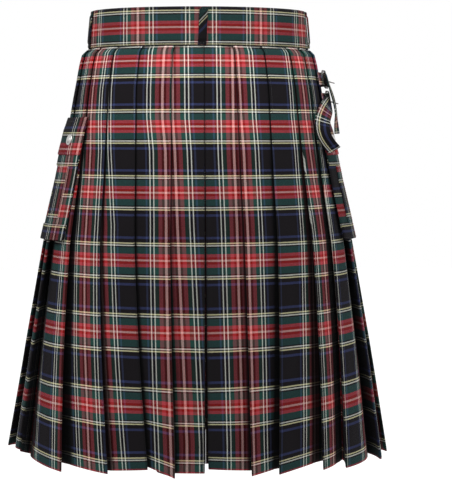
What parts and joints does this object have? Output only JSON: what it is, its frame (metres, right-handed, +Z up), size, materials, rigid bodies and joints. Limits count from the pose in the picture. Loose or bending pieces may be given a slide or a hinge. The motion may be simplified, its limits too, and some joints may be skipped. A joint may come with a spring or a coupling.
{
  "type": "kilt",
  "caption": "Knee-length tartan wrap kilt filled out as worn, with a pleated back, flat overlapping front aprons, belt loops, side cargo pockets and buckled hip straps.",
  "frame": {"origin": "centre of the waist opening, level with the top edge of the waistband", "axes": "+Z up, +X towards the wearer's right hip, -Y out of the pleated back and +Y out of the front aprons"},
  "size_m": [0.5442, 0.3575, 0.6315],
  "materials": {
    "tartan": "twill tartan in black, navy, bottle green and red with white and yellow lines, matt",
    "band_tartan": "the same tartan cut along the red stripe, interfaced, matt",
    "pocket_tartan": "the same tartan, matt",
    "strap_tartan": "the same tartan cut on the bias, matt",
    "loop_cloth": "dark navy and black cloth with fine white slanting lines, matt",
    "metal": "nickel plate, satin"
  },
  "bodies": {
    "root": {"pleats_left_back": "tartan", "pleats_left_side": "tartan", "pleats_right_back": "tartan", "pleats_right_side": "tartan", "over_apron": "tartan", "under_apron": "tartan", "waistband": "band_tartan", "loop_left": "loop_cloth", "loop_centre": "loop_cloth", "loop_right": "loop_cloth", "pocket_left_bag": "pocket_tartan", "pocket_left_strip": "pocket_tartan", "pocket_left_top_band": "pocket_tartan", "pocket_left_low_band": "pocket_tartan", "pocket_left_flap": "pocket_tartan", "pocket_left_snap": "metal", "pocket_right_bag": "pocket_tartan", "pocket_right_strip": "pocket_tartan", "pocket_right_top_band": "pocket_tartan", "pocket_right_low_band": "pocket_tartan", "pocket_right_flap": "pocket_tartan", "pocket_right_snap": "metal", "strap_upper": "strap_tartan", "chape_upper": "strap_tartan", "buckle_upper": "metal", "prong_upper": "metal", "strap_lower": "strap_tartan", "chape_lower": "strap_tartan", "buckle_lower": "metal", "prong_lower": "metal"}
  },
  "joints": []
}
